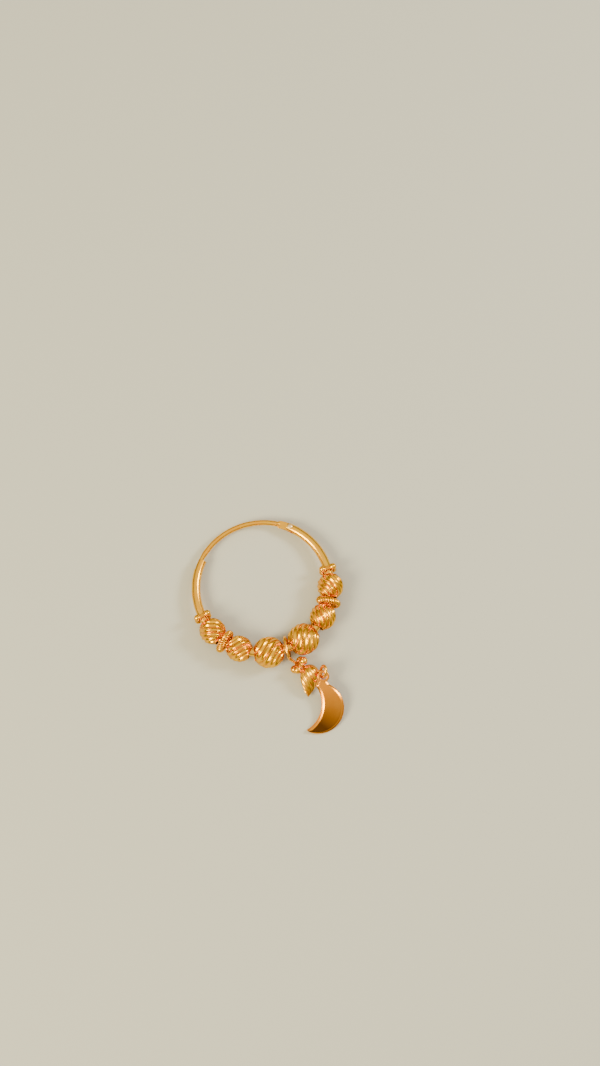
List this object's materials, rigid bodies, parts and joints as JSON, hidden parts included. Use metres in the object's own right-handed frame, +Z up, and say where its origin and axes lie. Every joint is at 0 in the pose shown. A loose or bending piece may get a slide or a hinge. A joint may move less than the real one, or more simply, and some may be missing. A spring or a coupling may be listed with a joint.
{
  "type": "hoop earring",
  "caption": "Round hoop earring with a hinged ear wire, fluted beads, rope rings and granule spacers on its tube, and a crescent hanging beside a fluted drop.",
  "frame": {"origin": "middle of the bounding box's underside, on the surface that the earring lies on", "axes": "+Z up from the surface, +Y from the dangle across the hoop to the ear wire, +X to the right of that"},
  "size_m": [0.0198, 0.028, 0.0041],
  "materials": {
    "tube_gold": "polished yellow gold wire and tube",
    "bead_gold": "bright-cut orange gold",
    "crescent_gold": "polished reddish gold plate"
  },
  "bodies": {
    "hoop": {"hoop_tube": "tube_gold", "hinge_pin": "tube_gold", "granule_spacer_1": "bead_gold", "fluted_bead_1": "bead_gold", "rope_ring_1": "bead_gold", "fluted_bead_2": "bead_gold", "fluted_bead_3": "bead_gold", "dangle_wire": "tube_gold", "fluted_bead_4": "bead_gold", "fluted_bead_5": "bead_gold", "rope_ring_2": "bead_gold", "fluted_bead_6": "bead_gold", "granule_spacer_2": "bead_gold", "granule_spacer_3": "bead_gold", "fluted_drop": "bead_gold", "crescent": "crescent_gold"},
    "wire": {"ear_wire": "tube_gold"}
  },
  "joints": [
    {"name": "ear_wire_hinge", "type": "hinge", "parent": "hoop", "child": "wire", "pos_m": [0.00292, 0.01296, 0.00111], "axis": [0.0233, -0.06, -0.9979], "range_deg": [0, 75]}
  ]
}
